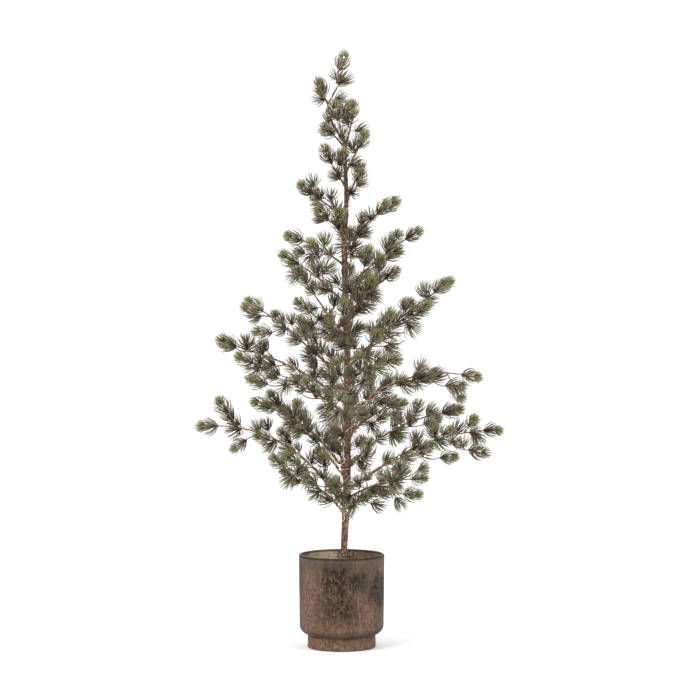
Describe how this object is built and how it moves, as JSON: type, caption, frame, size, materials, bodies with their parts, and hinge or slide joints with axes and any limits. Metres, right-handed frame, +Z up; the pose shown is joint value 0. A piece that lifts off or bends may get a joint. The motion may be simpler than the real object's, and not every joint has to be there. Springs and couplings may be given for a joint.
{
  "type": "artificial potted fir",
  "caption": "Artificial potted fir: a slim, open conifer of wired boughs with tufts of olive-green needles and tiny warm lights, standing in a glazed brown ceramic pot.",
  "frame": {"origin": "centre of the pot's flat underside", "axes": "+Z up the tree, +X to the right and +Y away, seen from the front"},
  "size_m": [0.6199, 0.456, 1.2],
  "materials": {
    "bark": "matte",
    "needles": "matte",
    "young_needles": "matte",
    "pot_glaze": "satin",
    "pot_fill": "matte",
    "light_wire": "satin",
    "light_drop": "gloss"
  },
  "bodies": {
    "root": {"pot": "pot_glaze", "pot_fill": "pot_fill", "trunk": "bark", "bough_left_1": "bark", "foliage_left_1": "needles", "bough_left_2": "bark", "foliage_left_2": "needles", "bough_left_3": "bark", "foliage_left_3": "needles", "bough_left_4": "bark", "foliage_left_4": "needles", "bough_left_5": "bark", "foliage_left_5": "needles", "foliage_left_6": "needles", "foliage_left_7": "needles", "foliage_left_8": "needles", "foliage_left_9": "needles", "foliage_left_10": "needles", "foliage_left_11": "needles", "foliage_left_12": "needles", "foliage_left_13": "needles", "foliage_left_14": "needles", "bough_right_1": "bark", "foliage_right_1": "needles", "bough_right_2": "bark", "foliage_right_2": "needles", "foliage_right_3": "needles", "foliage_right_4": "needles", "bough_right_5": "bark", "foliage_right_5": "needles", "bough_right_6": "bark", "foliage_right_6": "needles", "foliage_right_7": "needles", "bough_right_8": "bark", "foliage_right_8": "needles", "foliage_right_9": "needles", "foliage_right_10": "needles", "foliage_right_11": "needles", "foliage_right_12": "needles", "foliage_right_13": "needles", "foliage_right_14": "needles", "foliage_right_15": "needles", "foliage_right_16": "needles", "foliage_front_1": "needles", "foliage_front_2": "needles", "foliage_front_3": "needles", "foliage_front_4": "needles", "foliage_front_5": "needles", "bough_back_1": "bark", "foliage_back_1": "needles", "bough_back_2": "bark", "foliage_back_2": "needles", "bough_back_3": "bark", "foliage_back_3": "needles", "foliage_back_4": "needles", "foliage_back_5": "needles", "foliage_crown_right": "needles", "foliage_crown_left": "needles", "foliage_crown_hook": "needles", "foliage_crown_top": "needles"}
  },
  "joints": []
}
